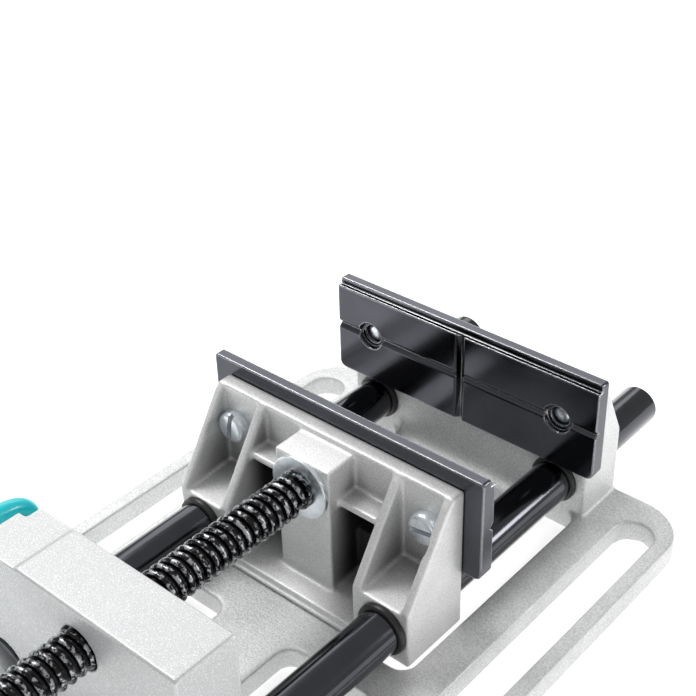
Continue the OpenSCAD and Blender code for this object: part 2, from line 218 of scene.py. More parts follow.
class Recipe:
    """One finish: a material whose nodes are added with `node`."""

    def __init__(self, name):
        self.material = bpy.data.materials.new(name)
        self.material.use_nodes = True
        self.tree = self.material.node_tree
        self.tree.nodes.clear()
        self.place = self.node("ShaderNodeTexCoord", {}, {}, "Object")

    def node(self, kind, settings, inputs, output=0):
        """Adds any node: its settings first, then the values or links of its sockets."""
        new = self.tree.nodes.new(kind)
        for name, value in settings.items():
            setattr(new, name, value)
        for name, value in inputs.items():
            socket = new.inputs[name]
            if isinstance(value, Value):
                self.tree.links.new(value.socket, socket)
            elif isinstance(value, (tuple, list)) and socket.type == "RGBA":
                socket.default_value = (*value[:3], 1.0)
            else:
                socket.default_value = value
        return Value(self, new.outputs[output])

    def noise(self, size_mm, detail=2.0, stretch=(1, 1, 1), rough=0.5):
        """Cloudy noise whose blotches are about this wide."""
        spot = self.node("ShaderNodeMapping", {}, {"Vector": self.place, "Scale": stretch})
        return self.node("ShaderNodeTexNoise", {"noise_dimensions": "3D"},
                         {"Vector": spot, "Scale": 1 / (size_mm * MM), "Detail": detail,
                          "Roughness": rough})

    def grains(self, size_mm):
        """Round grains about this far apart, as distance from each grain's middle."""
        return self.node("ShaderNodeTexVoronoi", {"feature": "F1"},
                         {"Vector": self.place, "Scale": 1 / (size_mm * MM)})

    def mix(self, amount, a, b):
        """Colour a where the amount is 0, colour b where it is 1."""
        return self.node("ShaderNodeMix", {"data_type": "RGBA"}, {0: amount, 6: a, 7: b}, 2)

    def edge(self, width_mm, low=0.01, high=0.16):
        """1 along corners within this width, 0 on flat ground; the lower the keener."""
        rounded = self.node("ShaderNodeBevel", {"samples": 6}, {"Radius": width_mm * MM})
        straight = self.node("ShaderNodeNewGeometry", {}, {}, "Normal")
        alike = self.node("ShaderNodeVectorMath", {"operation": "DOT_PRODUCT"},
                          {0: rounded, 1: straight}, "Value")
        return (1 - alike).span(low, high)

    def open_air(self, reach_mm):
        """1 where the surface lies open, towards 0 down in pockets and corners; the finishes paint
        shade with it.
        """
        return self.node("ShaderNodeAmbientOcclusion", {"samples": 6, "only_local": True},
                         {"Distance": reach_mm * MM}, "AO")

    def along(self, axis):
        """The place along X, Y or Z, in millimetres."""
        return self.node("ShaderNodeSeparateXYZ", {}, {0: self.place}, axis) / MM

    def off_axis(self, x_mm, z_mm):
        """Distance from a line along Y, in millimetres."""
        x = self.along("X") - x_mm
        z = self.along("Z") - z_mm
        return (x * x + z * z) ** 0.5

    def bump(self, height, depth_mm, strength=1.0):
        """Turns a height of 0..1 into a surface this deep."""
        return self.node("ShaderNodeBump", {}, {"Height": height, "Distance": depth_mm * MM,
                                                "Strength": strength})

    def surface(self, **sockets):
        """Ends the recipe with a Principled shader and gives back the material."""
        names = {name.replace("_", " "): value for name, value in sockets.items()}
        shader = self.node("ShaderNodeBsdfPrincipled", {}, names)
        end = self.tree.nodes.new("ShaderNodeOutputMaterial")
        self.tree.links.new(shader.socket, end.inputs["Surface"])
        return self.material


print("finishes are written with Recipe, and reckoned with Value")

# %% [markdown]
# ## Cast aluminium
#
# The base and the jaws are cast aluminium, tumbled and sprayed with a thin silvery coat. Up close
# the skin is a fine sand whose grains glint one by one, and these glints are a painted highlight;
# cloudy patches show where the coat lies thicker. Corners are a little brighter, partly worn by
# handling and partly a painted highlight, and deep corners are darkened with painted shade. Two
# noises and one set of grains could be painted as a picture, but as nodes on Object coordinates
# they fit any shape and stay on the part when it moves.

# %% Cast aluminium
BARE_METAL_AND_GLINT = (0.93, 0.935, 0.93)    # bare metal worn on corners, also a painted highlight on corners and painted glints on grains
CORNER_SHADE = (0.030, 0.031, 0.033)    # painted shade in deep corners
RECESS_SHADE = (0.022, 0.022, 0.023)     # painted shade in the recess beside the boss


def cast_skin(name, light, shade, sand_mm, sand_deep, metal=0.45, rough=0.38, shade_reach_mm=16,
              painted_shade=None):
    """Sandy cast metal: colours of crest and hollow, the size of its sand and how deep it is."""
    recipe = Recipe(name)
    clouds = recipe.noise(14, detail=4)
    sand = recipe.noise(sand_mm, detail=3, rough=0.6)
    grit = recipe.grains(sand_mm * 1.7)
    sparkle = recipe.noise(sand_mm * 0.8, detail=1).span(0.56, 0.68)
    wear_and_highlight = recipe.edge(1.5, 0.006, 0.07)
    tone = (0.75 * sand + 0.25 * clouds).span(0.38, 0.62)
    colour = recipe.mix(tone, shade, light)
    # Corners are lightened for wear and a painted highlight; the sparkle is painted glints on the
    # grains.
    colour = recipe.mix((0.6 * wear_and_highlight + 0.6 * sparkle).below(1.0), colour, BARE_METAL_AND_GLINT)
    # Painted shade in deep corners and pockets.
    colour = recipe.mix(recipe.open_air(shade_reach_mm).span(0.10, 0.60), CORNER_SHADE, colour)
    # Painted shade where the given mask says, such as the recess beside the boss.
    if painted_shade:
        colour = recipe.mix(painted_shade(recipe), colour, RECESS_SHADE)
    roughness = rough + 0.10 * clouds + 0.12 * sand - 0.14 * wear_and_highlight - 0.12 * sparkle
    height = 0.7 * sand + 0.3 * grit
    return recipe.surface(Base_Color=colour, Metallic=metal, Roughness=roughness,
                          Normal=recipe.bump(height, sand_deep))


def shade_beside_the_boss(recipe):
    """Painted shade on the wall and round the windows between the boss and the inner ribs."""
    wall_y = box_mm("moving_plate")[0][1]
    boss_x, rib_x, sole_z, shelf_z = 10.0, 24.0, 10.5, 40.1
    side = (recipe.along("X") * recipe.along("X")) ** 0.5
    aside = side.span(boss_x - 0.6, boss_x) * side.span(rib_x, rib_x + 0.6, 1.0, 0.0)
    deep = recipe.along("Y").span(wall_y - 16.5, wall_y - 7.0)
    height = recipe.along("Z")
    low = height.span(sole_z, sole_z + 3.5) * height.span(shelf_z - 0.9, shelf_z, 1.0, 0.0)
    return 0.96 * aside * deep * low


base_casting = cast_skin("base_casting", (0.82, 0.825, 0.82), (0.60, 0.605, 0.61), 0.48, 0.12,
                         metal=0.30, shade_reach_mm=5)
jaw_casting = cast_skin("jaw_casting", (0.84, 0.84, 0.835), (0.66, 0.66, 0.66), 0.42, 0.09,
                        painted_shade=shade_beside_the_boss)
block_casting = cast_skin("block_casting", (0.62, 0.625, 0.63), (0.54, 0.545, 0.55), 0.40, 0.05,
                          metal=0.30, shade_reach_mm=4)
print("cast finishes:", base_casting.name, jaw_casting.name, block_casting.name)

# %% [markdown]
# ## Blackened steel
#
# The jaw plates and rods are ground steel with a glossy black oxide. It is never quite even: the
# grinding leaves hair-fine lines along the piece, oil leaves faint clouds, and the black is worn
# through to bare steel along the corners; that wear and a painted highlight draw a thin bright line
# round each plate. Down in the grooves painted shade keeps it dead black. The rolled thread gets a
# finish of its own, because only its crests carry bright patches, partly rubbed wear and partly a
# painted highlight: the finish measures how far each point lies from the screw's axis.

# %% Blackened steel
STEEL_WEAR_AND_HIGHLIGHT = (0.80, 0.81, 0.83)
GROOVE_SHADE = (0.012, 0.012, 0.013)


def black_steel(name, along, gloss, black, wear_and_highlight, wear_and_highlight_mm=0.7):
    """Glossy black steel with hair lines along one axis; its corners carry worn bare steel and a
    painted highlight, this strong and this wide, and its grooves painted shade.
    """
    recipe = Recipe(name)
    stretch = [1.0, 1.0, 1.0]
    stretch["XYZ".index(along)] = 0.02
    lines = recipe.noise(0.25, detail=2, stretch=tuple(stretch))
    clouds = recipe.noise(22, detail=3)
    open_air = recipe.open_air(2.4).span(0.45, 0.85)
    # Corners show worn bare steel with a painted highlight over it.
    bright = wear_and_highlight * open_air * recipe.edge(wear_and_highlight_mm, 0.004, 0.05)
    colour = recipe.mix(clouds.span(0.35, 0.65), [0.85 * tint for tint in black], black)
    colour = recipe.mix(bright, colour, STEEL_WEAR_AND_HIGHLIGHT)
    # Painted shade keeps grooves and pockets dead black.
    colour = recipe.mix(open_air, GROOVE_SHADE, colour)
    roughness = gloss + 0.06 * lines + 0.05 * clouds + 0.10 * bright
    return recipe.surface(Base_Color=colour, Metallic=1.0, Roughness=roughness,
                          Normal=recipe.bump(lines, 0.006, 0.7))


def rolled_steel(name, groove_mm, crest_mm):
    """Black oily thread whose crests carry bright patches, partly rubbed wear and partly a painted
    highlight.
    """
    recipe = Recipe(name)
    crest = recipe.off_axis(spin_x, spin_z).span(groove_mm, crest_mm)
    patches = recipe.noise(1.5, detail=2, rough=0.6).span(0.46, 0.60)
    scale = recipe.noise(0.3, detail=2)
    # Bright crest patches: rubbed wear and a painted highlight.
    rubbed_and_highlight = crest * patches
    colour = recipe.mix(0.8 * rubbed_and_highlight, (0.030, 0.030, 0.032), (0.58, 0.59, 0.61))
    return recipe.surface(Base_Color=colour, Metallic=1.0,
                          Roughness=0.16 + 0.20 * rubbed_and_highlight + 0.08 * scale,
                          Normal=recipe.bump(scale + patches, 0.02, 0.8))


spin_x, _, spin_z = middle_of("spindle")
jaw_steel = black_steel("jaw_steel", "X", 0.09, (0.088, 0.091, 0.104), wear_and_highlight=0.95)
rod_steel = black_steel("rod_steel", "Y", 0.09, (0.076, 0.078, 0.086), wear_and_highlight=0.3)
thread_steel = rolled_steel("thread_steel", 5.3, 6.0)
print("steel finishes:", jaw_steel.name, rod_steel.name, thread_steel.name)

# %% [markdown]
# ## Zinc, bronze, and the plastics
#
# Screws and washers are zinc plated: bright metal with a blue cast and cloudy passivation. The
# half nut is a copper alloy. The bushes and knobs are black nylon with a moulded grain, and the
# lever is dipped in glossy teal vinyl, which is smooth but gently uneven like an orange's skin.
# Each could have its own net of nodes, but they differ only in colour, gloss and grain, so two
# recipes with a few settings serve them all.

# %% Small finishes
SLOT_SHADE = (0.05, 0.055, 0.06)      # painted shade at the bottom of a slot or socket


def plated(name, bright, dull, rough):
    """Plated or plain bright metal with cloudy patches and fine turning marks."""
    recipe = Recipe(name)
    clouds = recipe.noise(2.2, detail=3)
    marks = recipe.noise(0.22, detail=2)
    wear_and_highlight = recipe.edge(0.25)
    colour = recipe.mix(clouds.span(0.38, 0.62), dull, bright)
    # Corners are lightened for wear and a painted highlight.
    colour = recipe.mix(0.5 * wear_and_highlight, colour, (0.97, 0.98, 0.99))
    # Painted shade in slots and sockets.
    colour = recipe.mix(recipe.open_air(1.6).span(0.25, 0.75), SLOT_SHADE, colour)
    return recipe.surface(Base_Color=colour, Metallic=0.85,
                          Roughness=rough + 0.08 * clouds + 0.06 * marks - 0.05 * wear_and_highlight,
                          Normal=recipe.bump(marks, 0.003, 0.5))


def moulded(name, light, dark, rough, grain_mm, deep, coat=0.0):
    """Moulded or dipped plastic with a grain."""
    recipe = Recipe(name)
    clouds = recipe.noise(9, detail=2)
    grain = recipe.noise(grain_mm, detail=2)
    wear_and_highlight = recipe.edge(0.5)
    colour = recipe.mix((0.6 * clouds + 0.4 * grain).span(0.35, 0.65), dark, light)
    return recipe.surface(Base_Color=colour, Coat_Weight=coat, Coat_Roughness=0.12,
                          Roughness=rough + 0.10 * grain + 0.06 * clouds - 0.08 * wear_and_highlight,
                          Normal=recipe.bump(grain, deep))


zinc = plated("zinc", (0.87, 0.92, 0.95), (0.78, 0.84, 0.89), 0.22)
nut_bronze = plated("nut_bronze", (0.78, 0.57, 0.30), (0.60, 0.42, 0.21), 0.28)
bush_plastic = moulded("bush_plastic", (0.022, 0.022, 0.023), (0.012, 0.012, 0.013), 0.30,
                       grain_mm=0.5, deep=0.015)
lever_teal = moulded("lever_teal", (0.0, 0.68, 0.74), (0.0, 0.58, 0.64), 0.22,
                     grain_mm=3.0, deep=0.05, coat=0.35)
print("small finishes:", zinc.name, nut_bronze.name, bush_plastic.name, lever_teal.name)

# %% [markdown]
# ## Castings with soft corners
#
# A casting has no sharp corner anywhere: the metal flows round them, and every inside corner
# has a fillet. Bevels on a shape with this many ribs, windows and bores would trip over each
# other. Instead the shape is rebuilt as a fine even skin with Remesh and then relaxed, which
# rounds the outside corners and fills the inside ones by the same amount, as a casting does.
# Flat ground doesn't move, so the sizes hold. Decimate then thins the flat areas, and Weighted
# Normal keeps them looking flat.

# %% Copy a node, and cast it
def copy_of(node, name):
    """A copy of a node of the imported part, with its loose triangles merged into one skin."""
    piece = bpy.data.objects.new(name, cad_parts[node].data.copy())
    bpy.context.scene.collection.objects.link(piece)
    only(piece)
    bpy.ops.object.mode_set(mode="EDIT")
    bpy.ops.mesh.select_all(action="SELECT")
    bpy.ops.mesh.remove_doubles(threshold=0.002 * MM)
    bpy.ops.object.mode_set(mode="OBJECT")
    return piece


def cast(piece, skin_mm, passes, keep):
    """Rounds every corner of the piece as casting does."""
    apply_modifier(piece, "REMESH", mode="VOXEL", voxel_size=skin_mm * MM, use_smooth_shade=True)
    apply_modifier(piece, "SMOOTH", factor=0.5, iterations=passes)
    apply_modifier(piece, "DECIMATE", decimate_type="COLLAPSE", ratio=keep)
    only(piece)
    bpy.ops.object.shade_smooth()
    apply_modifier(piece, "WEIGHTED_NORMAL", mode="FACE_AREA", weight=50, keep_sharp=False)
    return piece


def bar_between(name, low, high):
    """A plain block from its two opposite corners, in millimetres."""
    only(None)
    middle = [(a + b) / 2 * MM for a, b in zip(low, high)]
    bpy.ops.mesh.primitive_cube_add(size=1, location=middle)
    block = named(name)
    block.scale = [(b - a) * MM for a, b in zip(low, high)]
    return settle(block)


print("castings: copy_of, cast, bar_between")

# %% [markdown]
# ## The base with its fixed jaw
#
# One casting: a 7.5 mm plate with a long bolt slot down each side, openings under the rods, and
# the fixed jaw standing on it with four ribs behind. It could be drawn again from a cube, but the
# node already has every slot and bore at its true place, so only its corners need work. It is the
# largest piece, so its skin can be a little coarser than the jaw's.

# %% Base casting
base = cast(copy_of("base_casting", "base_casting_skin"), 0.60, 7, 0.32)
hand_in(base, "base", base_casting, "base_casting", smooth=None)

# %% [markdown]
# ## The moving jaw
#
# A thin wall with two deep pockets for the plate's screws, a boss for the spindle and two windows
# beside it. The pattern maker gave it generous corners, so its skin is finer than the base's and
# is relaxed twice as long. The dark recess beside the boss is painted shade in its finish, not in
# its shape.

# %% Moving jaw
jaw = cast(copy_of("moving_jaw", "moving_jaw_skin"), 0.45, 14, 0.36)
hand_in(jaw, "jaw", jaw_casting, "moving_jaw", smooth=None)

# %% [markdown]
# ## The nut block
#
# A smoother, paler block at the front. Its top carries a raised panel, which the real one uses
# for raised lettering; here the panel stays blank. The panel is a thin slab that overlaps the
# block, and the casting step melts the two together.

# %% Nut block
block = copy_of("nut_block", "nut_block_skin")
block_low, block_high = box_mm("nut_block")
panel = bar_between("panel", (-22, block_low[1] + 0.5, block_high[2] - 2),
                    (35.6, block_high[1] - 0.3, block_high[2] + 0.5))
block = cast(join("nut_block_skin", block, panel), 0.5, 9, 0.36)
hand_in(block, "base", block_casting, "nut_block", smooth=None)

# %% [markdown]
# ## Edged copies
#
# Machined pieces need the opposite of a casting: flat faces, and a small even chamfer on every
# edge that catches a thin line of light. The node's copy is merged, its triangles are dissolved
# into whole faces again, and a narrow bevel is run along all its corners. Drawing the plates from
# a cube would work as well, but their grooves cross in ways that a copy already has right.

# %% Machined copies
FLAT = math.radians(0.6)        # faces that meet flatter than this are one face
CORNER = math.radians(28)       # and sharper than this they get a chamfer


def machined(node, name, chamfer_mm, steps=2, clamp=True):
    """A copy of a node with whole faces and a small chamfer on each corner."""
    piece = copy_of(node, name)
    bpy.ops.object.mode_set(mode="EDIT")
    bpy.ops.mesh.select_all(action="SELECT")
    bpy.ops.mesh.dissolve_limited(angle_limit=FLAT)
    bpy.ops.object.mode_set(mode="OBJECT")
    apply_modifier(piece, "BEVEL", width=chamfer_mm * MM, segments=steps, limit_method="ANGLE",
                   angle_limit=CORNER, use_clamp_overlap=clamp, harden_normals=True)
    return piece


for node, body in (("fixed_plate", "base"), ("moving_plate", "jaw")):
    hand_in(machined(node, node + "_ground", 0.45, steps=4, clamp=False), body,
            jaw_steel, node, smooth=None)

# %% [markdown]
# ## Turned pieces
#
# Rods, washers, knobs and screw heads come from a lathe. A lathe outline is a list of stations:
# how far along the axis, and how wide there. A disc is drawn out and widened from station to
# station with extrude and resize, which is also how it would be drawn by hand.

# %% Turn a piece
TOWARDS = {"+X": (1, 0, 0), "-X": (-1, 0, 0), "+Y": (0, 1, 0), "-Y": (0, -1, 0), "+Z": (0, 0, 1)}


def stand(piece, place, towards):
    """Lays a piece made along +Z on its axis, and puts it in its place in millimetres."""
    turn = Vector((0, 0, 1)).rotation_difference(Vector(TOWARDS[towards])).to_matrix().to_4x4()
    piece.matrix_world = Matrix.Translation(Vector(place) * MM) @ turn
    return settle(piece)


def turned(name, stations, place, towards, sides=64):
    """A lathe piece: stations are (distance along the axis, radius) in millimetres."""
    only(None)
    at, wide = stations[0]
    bpy.ops.mesh.primitive_circle_add(vertices=sides, radius=wide * MM, fill_type="NGON")
    piece = named(name)
    bpy.ops.object.mode_set(mode="EDIT")
    bpy.ops.mesh.select_mode(type="FACE")
    bpy.ops.mesh.select_all(action="SELECT")
    first = at
    for station, radius in stations[1:]:
        step = (station - at) * MM
        bpy.ops.mesh.extrude_region_move(TRANSFORM_OT_translate={"value": (0, 0, step)})
        if radius != wide:
            size = radius / wide
            bpy.ops.transform.resize(value=(size, size, 1),
                                     center_override=(0, 0, (station - first) * MM))
        at, wide = station, radius
    bpy.ops.mesh.select_all(action="SELECT")
    bpy.ops.mesh.normals_make_consistent(inside=False)
    only(piece)
    for corner in piece.data.vertices:
        corner.co.z += first * MM
    return stand(piece, place, towards)


def rounded(long, radius, corner=0.6):
    """Stations of a plain pin of this length whose two ends are rounded."""
    ends = [(corner * (1 - math.cos(a)), radius - corner * (1 - math.sin(a)))
            for a in (0.0, 0.55, 1.1, math.pi / 2)]
    return ends + [(long - at, wide) for at, wide in reversed(ends)]


def bore(piece, towards, radius_mm):
    """Opens a hole through a turned piece: both end faces are inset, then bridged."""
    axis = Vector(TOWARDS[towards])
    ends = sorted({round(f.center.dot(axis), 6) for f in piece.data.polygons
                   if abs(f.normal.dot(axis)) > 0.99 and len(f.vertices) > 20})
    outer = max((piece.data.vertices[i].co - f.center).length
                for f in piece.data.polygons if len(f.vertices) > 20 for i in f.vertices)
    pick_faces(piece, lambda middle, normal: abs(normal.dot(axis)) > 0.99
               and round(middle.dot(axis), 6) in (ends[0], ends[-1]))
    bpy.ops.mesh.inset(thickness=outer - radius_mm * MM)
    bpy.ops.mesh.bridge_edge_loops()
    bpy.ops.mesh.select_all(action="SELECT")
    bpy.ops.mesh.normals_make_consistent(inside=False)
    return only(piece)


print("lathe work: turned, rounded, bore, stand")

# %% [markdown]
# ## The guide rods
#
# Two ground bars, 13.5 mm thick, that carry the moving jaw. Their ends are faced off square and
# their corners rounded over. A cylinder with a bevel would do, but as lathe outlines they share
# the tool that makes every other round piece.

# %% Guide rods
rod_stations = {}
for side in ("left", "right"):
    node = f"guide_rod_{side}"
    low, high = box_mm(node)
    mid = middle_of(node)
    radius = (high[0] - low[0]) / 2
    rod = turned(node + "_ground", rounded(high[1] - low[1], radius, 0.9),
                 (mid[0], low[1], mid[2]), "+Y", sides=96)
    hand_in(rod, "base", rod_steel, node)
    rod_stations[side] = (mid[0], mid[2], radius)

# %% [markdown]
# ## Bushes and rings
#
# Black nylon bushes line the moving jaw where it slides on the rods, and their flanges show as a
# ring round each rod. Rings of the same black sit where the rods enter the fixed jaw. Both are
# lathe pieces too, drawn as solid discs and then bored by insetting and bridging their ends.

# %% Bushes in the moving jaw, rings on the fixed one
def pair_of_tubes(name, node, stations, inner):
    """Two alike tubes, left and right, round the guide rods, from one lathe outline."""
    low, _ = box_mm(node)
    tubes = []
    for side, (x, z, _) in rod_stations.items():
        tube = turned(f"{name}_{side}", stations, (x, low[1], z), "+Y")
        tubes.append(bore(tube, "+Y", inner))
    return join(name, *tubes)


rod_radius = rod_stations["left"][2]
slide_fit, press_fit = 0.06, 0.03
flange = [(0, 7.4), (0.15, 7.75), (0.45, 8.0), (0.9, 8.1), (1.8, 8.1), (1.8, 7.5), (25.2, 7.5),
          (25.6, 7.2)]
hand_in(pair_of_tubes("rod_bushes_moulded", "rod_bushes", flange, rod_radius + slide_fit),
        "jaw", bush_plastic, "rod_bushes")
ring = [(0, 7.2), (0.15, 7.5), (0.5, 7.75), (0.9, 7.8), (1.8, 7.8)]
hand_in(pair_of_tubes("rod_rings_moulded", "rod_rings", ring, rod_radius + press_fit),
        "base", bush_plastic, "rod_rings")

# %% [markdown]
# ## The spindle
#
# The screw is rolled, not cut, so its ridges are round-topped and run up like a coiled wire, and
# the grooves between them are dark. A plain core is turned first. The ridge is a small flattened
# ring drawn beside the axis and swept up it with the Screw modifier, one turn for each 3 mm.
# Sweeping anticlockwise while climbing gives the usual right-hand thread.

# %% Thread ridge
def ridge(name, place, radius, wide, deep, pitch, turns, sides=10, steps=40):
    """A swept thread ridge along +Y that starts at this place; radius is that of its crest."""
    only(None)
    bpy.ops.mesh.primitive_circle_add(vertices=sides, radius=1, rotation=(math.pi / 2, 0, 0),
                                      location=((radius - deep / 2) * MM, 0, 0))
    thread = named(name)
    thread.scale = (deep / 2 * MM, wide / 2 * MM, 1)
    settle(thread)
    apply_modifier(thread, "SCREW", axis="Z", angle=2 * math.pi, screw_offset=pitch * MM,
                   iterations=turns, steps=steps, render_steps=steps, use_normal_calculate=True)
    only(thread)
    bpy.ops.object.mode_set(mode="EDIT")
    bpy.ops.mesh.select_all(action="SELECT")
    bpy.ops.mesh.remove_doubles(threshold=0.001 * MM)
    bpy.ops.mesh.fill_holes(sides=sides)
    bpy.ops.mesh.select_all(action="SELECT")
    bpy.ops.mesh.normals_make_consistent(inside=False)
    only(thread)
    return stand(thread, place, "+Y")


print("ridge sweeps one turn of thread for each pitch")

# %% Spindle
pitch = 3.0
journal, stub, groove = 4.0, 5.0, 3.1     # radii: in the jaw, in the hub, under the clip
spin_low, spin_high = box_mm("spindle")
crest = (spin_high[0] - spin_low[0]) / 2
washer_low, _ = box_mm("front_washer")
_, hub_high = box_mm("spindle_hub")
core = crest - 1.35
collar = washer_low[1] - 0.05 - spin_low[1]
thread_from = hub_high[1] - 1.5 - spin_low[1]
long = spin_high[1] - spin_low[1]
spindle = turned("spindle_core", [
    (0, stub - 0.4), (0.4, stub), (thread_from, stub), (thread_from, core), (collar - 2.2, core),
    (collar - 1.8, 5.4), (collar - 1.6, 5.9), (collar - 0.2, 5.9), (collar, 5.7),
    (collar, journal), (long - 3.3, journal), (long - 3.3, groove), (long - 2.2, groove),
    (long - 2.2, journal), (long - 0.5, journal), (long, journal - 0.5)],
    (spin_x, spin_low[1], spin_z), "+Y", sides=72)
turns = int((collar - 2.6 - thread_from) / pitch)
thread = ridge("thread", (spin_x, spin_low[1] + thread_from + 1.0, spin_z), crest, wide=1.95,
               deep=2.1, pitch=pitch, turns=turns)
print("thread:", turns, "turns, crest", round(crest, 2), "mm")
hand_in(join("spindle_rolled", spindle, thread), "screw", thread_steel, "spindle",
        smooth=40)

# %% [markdown]
# ## Screws of the jaw plates
#
# Slotted cheese heads, 10 mm across, sit in the pockets behind each plate. Their heads are turned
# with a soft rim, the slot is sawn, and the threaded tip shows in the plate's hole. Each one was
# tightened by hand, so the slots point anywhere. Sawing with a block and a boolean is how the slot
# is cut on the real screw, and it leaves the crisp edge that a chamfer would soften.

# %% Slotted screws
HEAD = 3.9                      # height of a head


def slotted_screw(name, place, towards, slot_turn, long=8.2):
    """A cheese-head screw: its head seats at the place and its shank runs towards the plate."""
    head = turned(name, [(-HEAD, 3.9), (-3.75, 4.35), (-3.4, 4.75), (-2.9, 4.98), (-0.3, 5.0),
                         (0, 4.8), (0, 3.0), (3.4, 3.0)], (0, 0, 0), "+Z", sides=48)
    saw = bar_between("saw", (-6, -0.8, -5), (6, 0.8, -2.3))
    saw.rotation_euler = (0, 0, math.radians(slot_turn))
    cut_with(head, settle(saw))
    ridges = [(3.4 + i + step, wide) for i in range(4)
              for step, wide in ((0.3, 3.0), (0.5, 2.6), (0.8, 2.6))]
    tip = turned("tip", [(3.2, 2.6), (3.4, 3.0)] + ridges
                 + [(long - 0.9, 2.8), (long - 0.6, 2.5), (long - 0.25, 1.7), (long - 0.1, 0.6)],
                 (0, 0, 0), "+Z", sides=32)
    return stand(join(name, head, tip), place, towards)


def plate_screws(node, name, body, towards, slot_turns):
    """The two screws of one jaw plate."""
    low, high = box_mm(node)
    seat = low[1] + HEAD if towards == "+Y" else high[1] - HEAD
    z = (low[2] + high[2]) / 2
    half_head = 5
    pair = [slotted_screw(f"{name}_{i}", (x, seat, z), towards, turn) for i, (x, turn)
            in enumerate(zip((low[0] + half_head, high[0] - half_head), slot_turns))]
    hand_in(join(name, *pair), body, zinc, node)


plate_screws("moving_plate_screws", "moving_plate_screws_slotted", "jaw", "+Y", (100, -10))
plate_screws("fixed_plate_screws", "fixed_plate_screws_slotted", "base", "-Y", (25, -40))

# %% [markdown]
# ## Washer, hub, bar and knobs
#
# A broad zinc washer takes the thrust of the screw on the boss. At the free end the screw carries
# a turned hub, a sliding bar and two moulded knobs. All are lathe work, and the hub is drilled
# afterwards for the bar, the cross pin and the end of the screw, as it would be on a bench.

# %% Washer on the boss
low, high = box_mm("front_washer")
washer = turned("washer", rounded(high[1] - low[1], 10, 0.35), (spin_x, low[1], spin_z), "+Y")
hand_in(bore(washer, "+Y", journal + slide_fit), "screw", zinc, "front_washer")

# %% Hub
low, high = box_mm("spindle_hub")
long = high[1] - low[1]
hub = turned("hub", [(0, 7.6), (0.3, 8.2), (1.0, 8.9), (1.6, 9.3), (2.2, 9.5), (4.5, 9.5),
                     (4.9, 9.1), (5.9, 9.1), (6.3, 9.5), (long - 2.2, 9.5), (long - 1.0, 9.0),
                     (long - 0.3, 8.2), (long, 7.4)], (spin_x, low[1], spin_z), "+Y", sides=72)
_, bar_y, bar_z = middle_of("handle_bar")
bar_hole, pin_hole, stub_hole = 4.08, 1.52, stub + 0.02
cut_with(hub, turned("drill", [(-12, bar_hole), (12, bar_hole)], (0, bar_y, bar_z), "+X", sides=48),
         turned("pin_drill", [(-12, pin_hole), (12, pin_hole)],
                (0, middle_of("hub_pin")[1], bar_z), "+Z", sides=24),
         turned("socket", [(-9, stub_hole), (1, stub_hole)], (0, high[1], bar_z), "+Y", sides=48))
apply_modifier(hub, "BEVEL", width=0.25 * MM, segments=2, limit_method="ANGLE",
               angle_limit=math.radians(50))
hand_in(hub, "screw", rod_steel, "spindle_hub")

# %% Bar and knobs
low, high = box_mm("handle_bar")
bar_radius = 4.0
bar = turned("handle_bar_turned", rounded(high[0] - low[0], bar_radius), (low[0], bar_y, bar_z),
             "+X")
hand_in(bar, "handle", zinc, "handle_bar")
low, high = box_mm("bar_knobs")
knobs = []
for place, towards in ((high[0], "-X"), (low[0], "+X")):
    knob = turned("knob", [(0, 2.6), (0.15, 3.9), (0.6, 5.0), (1.4, 5.9), (2.4, 6.4), (3.4, 6.5),
                           (5.6, 6.4), (6.8, 5.9), (7.6, 5.2), (8.0, 4.4)],
                  (place, bar_y, bar_z), towards)
    cut_with(knob, turned("socket", [(3, bar_radius + 0.01), (9, bar_radius + 0.01)],
                          (place, bar_y, bar_z), towards))
    knobs.append(knob)
hand_in(join("bar_knobs_moulded", *knobs), "handle", bush_plastic, "bar_knobs")

# %% [markdown]
# ## The release lever
#
# A round bar comes out beside the block, climbs, bends over and lies back along the top, dipped
# in teal vinyl. The dip fills the corner where the bar leaves its boss. The bar is a curve with a
# round bevel, the boss and grip are turned, and the casting step melts the three into one skin.

# %% Lever
_, shaft_y, shaft_z = middle_of("lever_screw")
bend_x, bend_r = -49.0, 2.8     # plane and radius of the bent bar
boss_face = -52.0               # outer face of its boss
route = [(-70.6, 32.6), (-66.5, 35.9), (-60.6, 40.5), (-57.6, 43.0), (-56.7, 45.2), (-57.2, 47.2),
         (-58.6, 48.9), (-60.5, 50.1), (-62.8, 50.9), (-65.4, 51.4), (-76.0, 52.25), (-88.0, 53.1)]
only(None)
bpy.ops.curve.primitive_nurbs_path_add(radius=MM)
curve = bpy.context.object
curve.data.splines.clear()
line = curve.data.splines.new("NURBS")
line.points.add(len(route) - 1)
for point, (y, z) in zip(line.points, route):
    point.co = (bend_x * MM, y * MM, z * MM, 1)
line.use_endpoint_u = True
line.order_u = 4
line.resolution_u = 8
curve.location = (0, 0, 0)
curve.data.dimensions = "3D"
curve.data.bevel_depth = bend_r * MM
curve.data.bevel_resolution = 6
curve.data.use_fill_caps = True
only(curve)
bpy.ops.object.convert(target="MESH")
lever_bar = settle(named("lever_bar"))
boss = turned("lever_boss", [(0, 7.2), (0.5, 7.8), (1.2, 8.0), (4.8, 8.0), (5.5, 7.8), (6.0, 7.2)],
              (boss_face, shaft_y, shaft_z), "+X")
grip_rise = 4.5                 # degrees
grip = turned("lever_grip", [(0, bend_r), (1.6, 3.9), (4.0, 4.2), (17.6, 4.2), (19.6, 3.6),
                             (20.7, 2.4), (21.0, 1.4)], (0, 0, 0), "+Z", sides=48)
grip.matrix_world = (Matrix.Translation(Vector((bend_x, -84, 52.85)) * MM)
                     @ Matrix.Rotation(math.radians(90 - grip_rise), 4, "X"))
lever = join("release_lever_dipped", boss, lever_bar, settle(grip))
